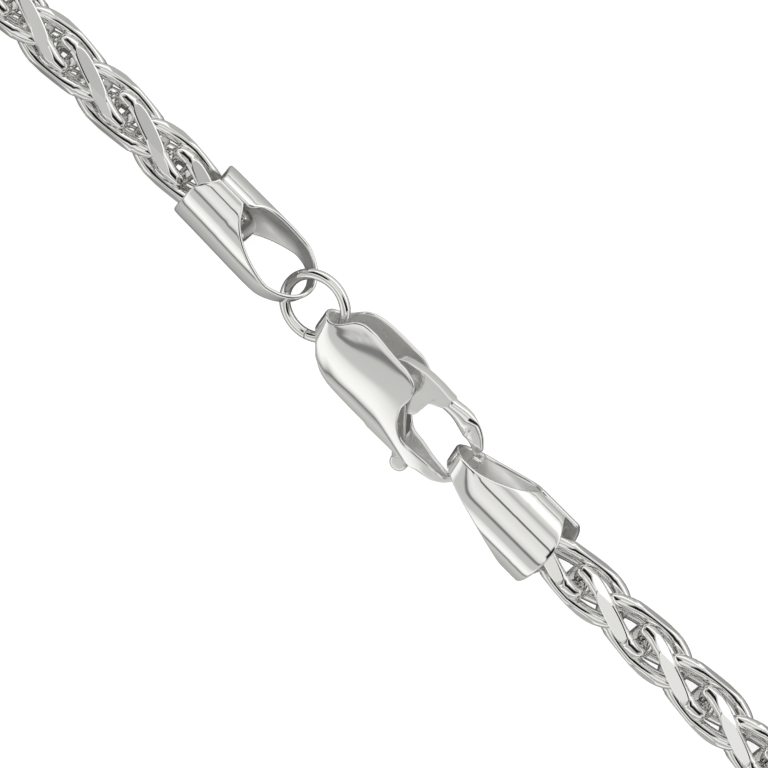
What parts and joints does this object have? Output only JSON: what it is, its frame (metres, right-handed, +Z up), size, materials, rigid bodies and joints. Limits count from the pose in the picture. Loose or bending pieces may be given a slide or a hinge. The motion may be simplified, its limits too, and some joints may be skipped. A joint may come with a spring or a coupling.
{
  "type": "wheat chain necklace",
  "caption": "Closed silver neck chain of twisted oval links lying in a loop, with folded end caps, a jump ring and a lobster clasp.",
  "frame": {"origin": "on the surface that the necklace lies on, under the middle of its outline", "axes": "+X along the straight stretch that holds the clasp, from the jump ring to the hook; +Y from the clasp to the back of the neck; +Z up, towards the clasp's front"},
  "size_m": [0.1765, 0.1452, 0.0069],
  "materials": {
    "polished_silver": "polished sterling silver sheet and wire",
    "cut_silver": "polished sterling silver links with eight bright flats cut along the chain"
  },
  "bodies": {
    "necklace": {"end_cap_left": "polished_silver", "end_cap_right": "polished_silver", "jump_ring": "polished_silver", "clasp_body": "polished_silver", "chain_right": "cut_silver", "chain_left": "cut_silver"},
    "lever": {"clasp_lever": "polished_silver"}
  },
  "joints": [
    {"name": "lever_hinge", "type": "hinge", "parent": "necklace", "child": "lever", "pos_m": [0.0002, -0.06714, 0.00379], "axis": [0, -0.5299, 0.848], "range_deg": [-7.5, 0], "stiffness_Nm_per_rad": 0.004, "springref_deg": 5.73}
  ]
}
